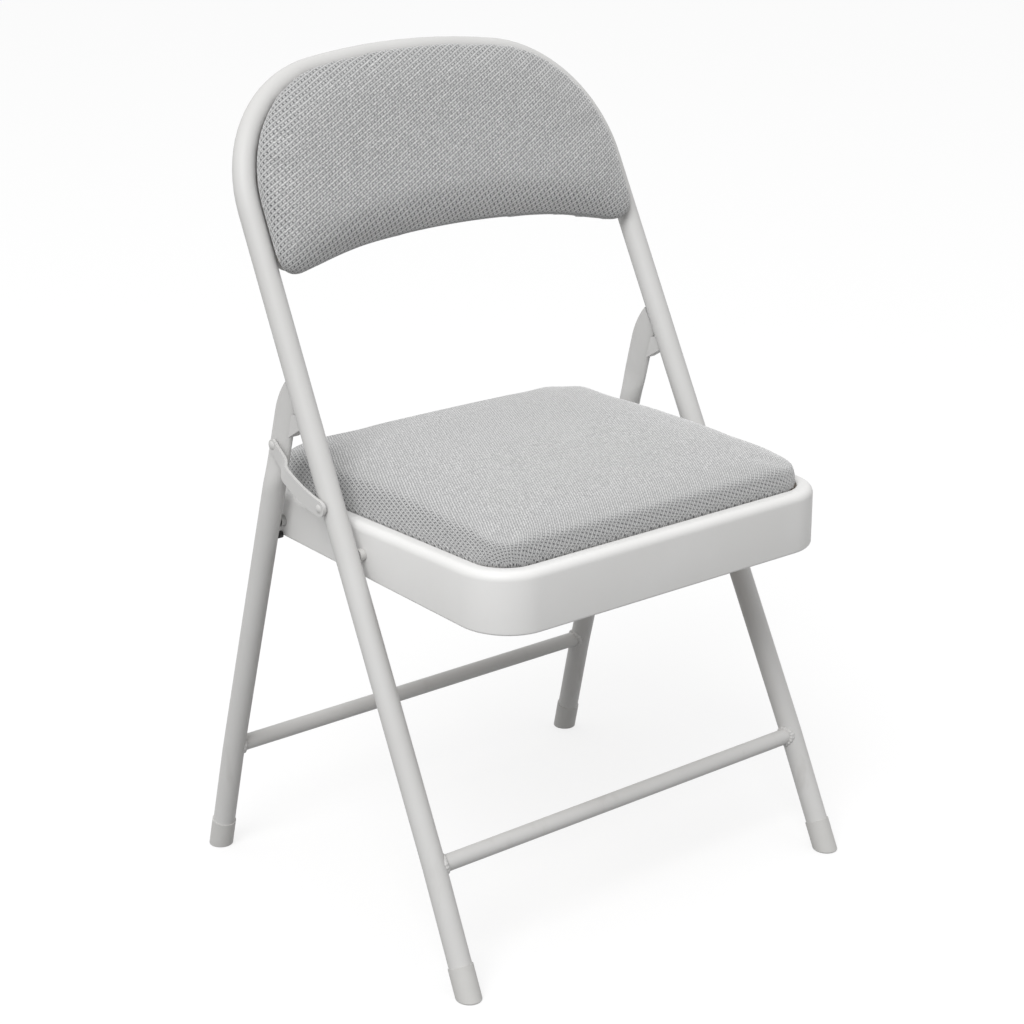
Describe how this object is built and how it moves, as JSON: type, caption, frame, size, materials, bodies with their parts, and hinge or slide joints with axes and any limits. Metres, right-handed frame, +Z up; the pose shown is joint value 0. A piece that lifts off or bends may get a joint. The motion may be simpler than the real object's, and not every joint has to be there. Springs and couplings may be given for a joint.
{
  "type": "folding chair",
  "caption": "Padded folding chair: a bent steel tube frame carries an upholstered back, a hinged padded seat, and rear legs on a side link that fold up behind it.",
  "frame": {"origin": "middle of the chair's footprint, on the floor, with the chair open", "axes": "+Z up, -Y the way a sitter faces, +X to the right seen from the front"},
  "size_m": [0.491, 0.431, 0.8],
  "materials": {
    "painted_steel": "satin powder coat, light warm grey",
    "grey_plastic": "moulded, light grey",
    "woven_fabric": "mid grey woven upholstery",
    "plywood": "raw plywood",
    "bare_steel": "zinc plated",
    "black_rubber": "black"
  },
  "bodies": {
    "frame": {"front_frame_tube": "painted_steel", "front_crossbar": "painted_steel", "foot_cap_front_left": "grey_plastic", "foot_cap_front_right": "grey_plastic", "back_panel": "painted_steel", "back_board": "plywood", "back_pad": "woven_fabric", "back_screws": "bare_steel", "seat_pivot_studs": "bare_steel", "seat_pivot_spacers": "grey_plastic", "link_rivet_front": "painted_steel", "link_washer_front": "bare_steel", "leg_stops": "painted_steel"},
    "seat": {"seat_pan": "painted_steel", "seat_board": "plywood", "seat_cushion": "woven_fabric", "seat_screws": "bare_steel", "pivot_plate_left": "painted_steel", "pivot_plate_right": "painted_steel", "rear_pivot_studs": "bare_steel", "rear_pivot_washers": "bare_steel", "seat_bumpers": "black_rubber"},
    "rear_legs": {"rear_leg_left": "painted_steel", "rear_leg_right": "painted_steel", "rear_crossbar": "painted_steel", "foot_cap_rear_left": "grey_plastic", "foot_cap_rear_right": "grey_plastic", "leg_plug_left": "grey_plastic", "leg_plug_right": "grey_plastic", "link_rivet_rear": "painted_steel", "link_washer_rear": "bare_steel"},
    "side_link": {"side_link": "painted_steel"}
  },
  "joints": [
    {"name": "seat_fold", "type": "hinge", "parent": "frame", "child": "seat", "pos_m": [0, -0.02175, 0.371], "axis": [-1, 0, 0], "range_deg": [0, 103.41]},
    {"name": "side_link_fold", "type": "hinge", "parent": "frame", "child": "side_link", "pos_m": [0, 0.00069, 0.41589], "axis": [-1, 0, 0], "range_deg": [0, 124.06]},
    {"name": "rear_legs_fold", "type": "hinge", "parent": "side_link", "child": "rear_legs", "pos_m": [0, 0.08243, 0.45588], "axis": [-1, 0, 0], "range_deg": [-82.2, 0]}
  ],
  "couplings": [
    {"joint": "side_link_fold", "follows": "seat_fold", "ratio": 1.1996},
    {"joint": "rear_legs_fold", "follows": "seat_fold", "ratio": -0.79478}
  ]
}
